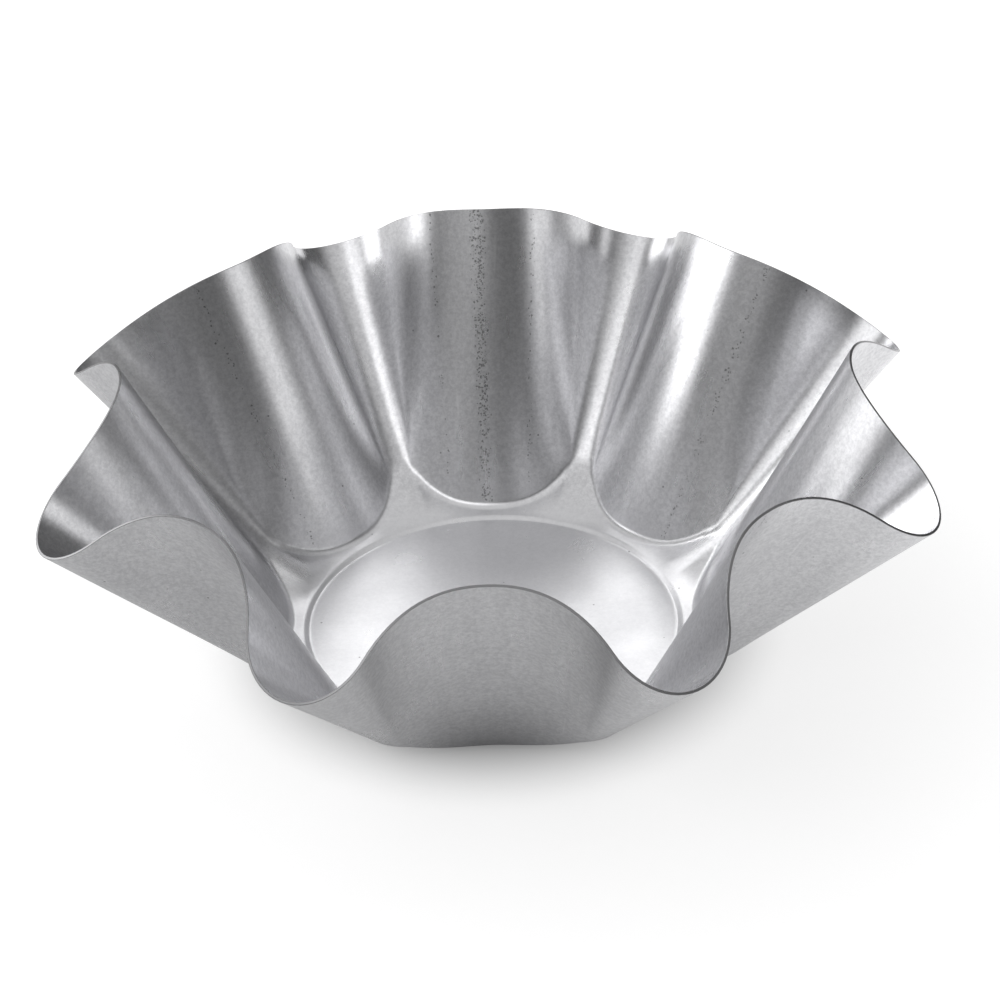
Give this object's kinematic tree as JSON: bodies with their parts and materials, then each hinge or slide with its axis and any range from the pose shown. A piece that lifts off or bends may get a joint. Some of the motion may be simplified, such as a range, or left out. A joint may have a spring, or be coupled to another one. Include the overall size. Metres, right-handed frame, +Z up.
{
  "type": "tortilla shell pan",
  "caption": "Fluted bowl-shaped baking pan pressed from tinned steel sheet, with a flat round floor and a wavy flaring rim, for baking a flat tortilla into an edible bowl.",
  "frame": {"origin": "middle of the flat round floor's underside, which stands on the table or oven shelf", "axes": "+Z up out of the bowl, with a wide inward bulge of the wall facing each of +X, +Y, -X and -Y"},
  "size_m": [0.1866, 0.1866, 0.0648],
  "materials": {
    "tinned_steel": "semi-bright tin plate with a fine draw grain"
  },
  "bodies": {
    "root": {"fluted_pan": "tinned_steel"}
  },
  "joints": []
}
